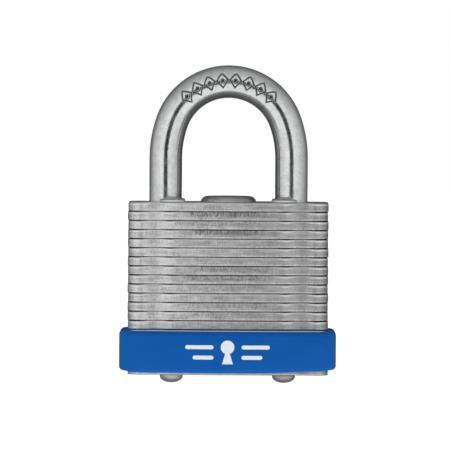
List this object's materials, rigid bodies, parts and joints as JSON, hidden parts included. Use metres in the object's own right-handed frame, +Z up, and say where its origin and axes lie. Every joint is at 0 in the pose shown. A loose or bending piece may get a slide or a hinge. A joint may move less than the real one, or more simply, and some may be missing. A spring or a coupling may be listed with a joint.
{
  "type": "laminated padlock",
  "caption": "Laminated steel padlock with a round-bar shackle, riveted plate body, blue plastic bumper, pin tumbler cylinder, cam and sliding bolts.",
  "frame": {"origin": "on the ground, in the middle of the four lower rivet heads, which is the bottom centre of the bounding box", "axes": "+Z up along the shackle legs, +X to the right and -Y towards the viewer facing the front"},
  "size_m": [0.0464, 0.0268, 0.0679],
  "materials": {
    "zinc_plated_plate": "dull zinc plated stampings, lightly tumbled",
    "rivet_steel": "satin plated rivet heads",
    "polished_steel": "bright plated, polished",
    "blue_plastic": "satin moulded plastic",
    "white_print": "flush white inlay",
    "plain_steel": "as pressed",
    "spring_wire": "drawn wire",
    "turned_brass": "turned",
    "pin_brass": "turned pins"
  },
  "bodies": {
    "body": {"top_plate": "zinc_plated_plate", "plate_02": "zinc_plated_plate", "plate_03": "zinc_plated_plate", "plate_04": "zinc_plated_plate", "plate_05": "zinc_plated_plate", "plate_06": "zinc_plated_plate", "plate_07": "zinc_plated_plate", "plate_08": "zinc_plated_plate", "plate_09": "zinc_plated_plate", "plate_10": "zinc_plated_plate", "plate_11": "zinc_plated_plate", "plate_12": "zinc_plated_plate", "plate_13": "zinc_plated_plate", "plate_14": "zinc_plated_plate", "plate_15": "zinc_plated_plate", "plate_16": "zinc_plated_plate", "plate_17": "zinc_plated_plate", "plate_18": "zinc_plated_plate", "bottom_plate": "zinc_plated_plate", "rivets": "rivet_steel", "bumper": "blue_plastic", "bumper_emblem": "white_print", "heel_clip": "plain_steel", "cylinder_housing": "turned_brass", "chamber_cover": "turned_brass", "shackle_spring": "spring_wire", "driver_pin_1": "pin_brass", "driver_pin_2": "pin_brass", "driver_pin_3": "pin_brass", "driver_pin_4": "pin_brass", "driver_pin_5": "pin_brass", "pin_spring_1": "spring_wire", "pin_spring_2": "spring_wire", "pin_spring_3": "spring_wire", "pin_spring_4": "spring_wire", "pin_spring_5": "spring_wire"},
    "shackle": {"shackle": "polished_steel"},
    "bolt_left": {"bolt_left": "plain_steel"},
    "bolt_right": {"bolt_right": "plain_steel"},
    "plug": {"plug": "turned_brass", "cam": "plain_steel", "plug_clip": "plain_steel", "key_pin_1": "pin_brass", "key_pin_2": "pin_brass", "key_pin_3": "pin_brass", "key_pin_4": "pin_brass", "key_pin_5": "pin_brass"}
  },
  "joints": [
    {"name": "shackle_lift", "type": "slide", "parent": "body", "child": "shackle", "axis": [0, 0, 1], "range_m": [0, 0.0115], "deforming": ["shackle_spring"]},
    {"name": "key_turn", "type": "hinge", "parent": "body", "child": "plug", "pos_m": [0, 0, 0.0147], "axis": [0, 0, 1], "range_deg": [-90, 0]},
    {"name": "bolt_right_throw", "type": "slide", "parent": "body", "child": "bolt_right", "axis": [1, 0, 0], "range_m": [0, 0.0015]},
    {"name": "bolt_left_throw", "type": "slide", "parent": "body", "child": "bolt_left", "axis": [-1, 0, 0], "range_m": [0, 0.0015]}
  ],
  "couplings": [
    {"joint": "bolt_right_throw", "follows": "key_turn", "m_per_rad": -0.00095493},
    {"joint": "bolt_left_throw", "follows": "key_turn", "m_per_rad": -0.00095493}
  ]
}
